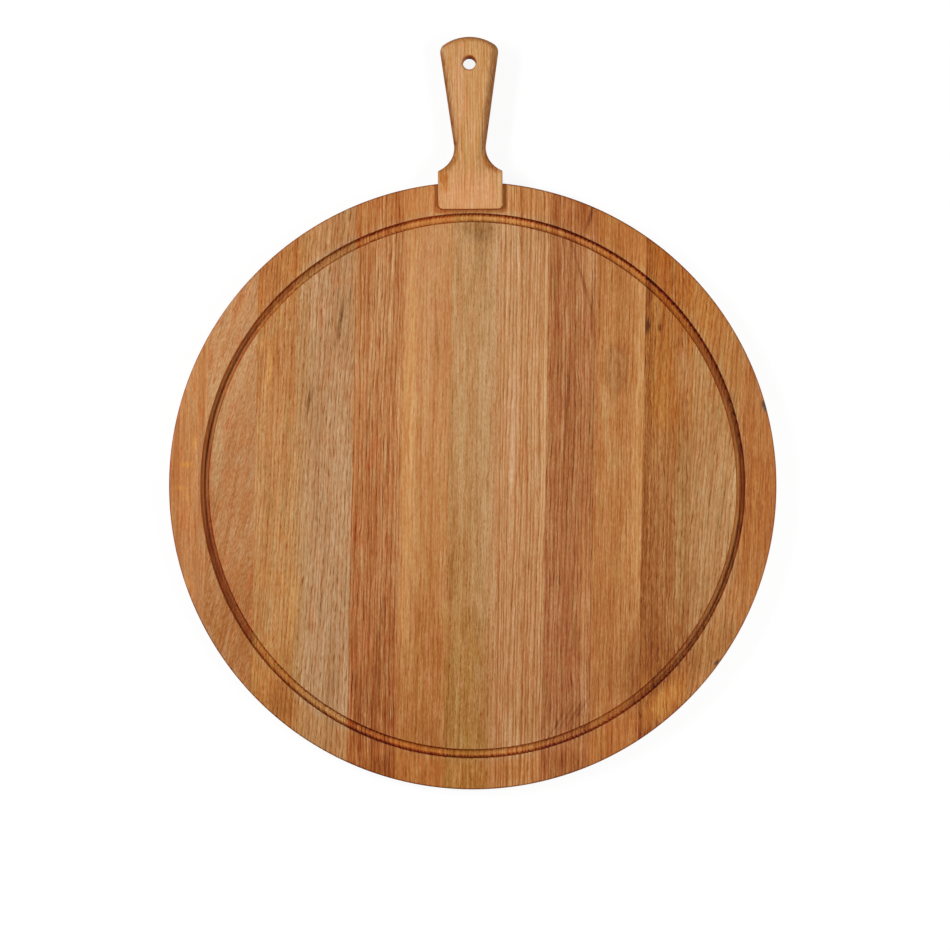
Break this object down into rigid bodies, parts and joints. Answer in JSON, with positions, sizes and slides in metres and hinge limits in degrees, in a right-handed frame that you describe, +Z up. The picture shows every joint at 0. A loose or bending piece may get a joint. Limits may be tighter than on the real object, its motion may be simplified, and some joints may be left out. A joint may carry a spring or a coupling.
{
  "type": "serving board",
  "caption": "Round wooden serving board of edge-glued oak staves, with a juice groove and a screwed-on hanging handle.",
  "frame": {"origin": "centre of the round board, on its underside", "axes": "+Z up out of the serving face, +Y from the board's centre along the handle to its hanging hole, +X to the right when the handle points away"},
  "size_m": [0.565, 0.7, 0.024],
  "materials": {
    "stave_01": "oiled oak, satin",
    "stave_02": "oiled oak, satin",
    "stave_03": "oiled oak, satin",
    "stave_04": "oiled oak, satin",
    "stave_05": "oiled oak, satin",
    "stave_06": "oiled oak, satin",
    "stave_07": "oiled oak, satin",
    "stave_08": "oiled oak, satin",
    "stave_09": "oiled oak, satin",
    "stave_10": "oiled oak, satin",
    "stave_11": "oiled oak, satin",
    "stave_12": "oiled oak, satin",
    "stave_13": "oiled oak, satin",
    "handle": "oiled oak, satin",
    "handle_screws": "zinc plated"
  },
  "bodies": {
    "root": {"stave_01": "stave_01", "stave_02": "stave_02", "stave_03": "stave_03", "stave_04": "stave_04", "stave_05": "stave_05", "stave_06": "stave_06", "stave_07": "stave_07", "stave_08": "stave_08", "stave_09": "stave_09", "stave_10": "stave_10", "stave_11": "stave_11", "stave_12": "stave_12", "stave_13": "stave_13", "handle": "handle", "handle_screws": "handle_screws"}
  },
  "joints": []
}
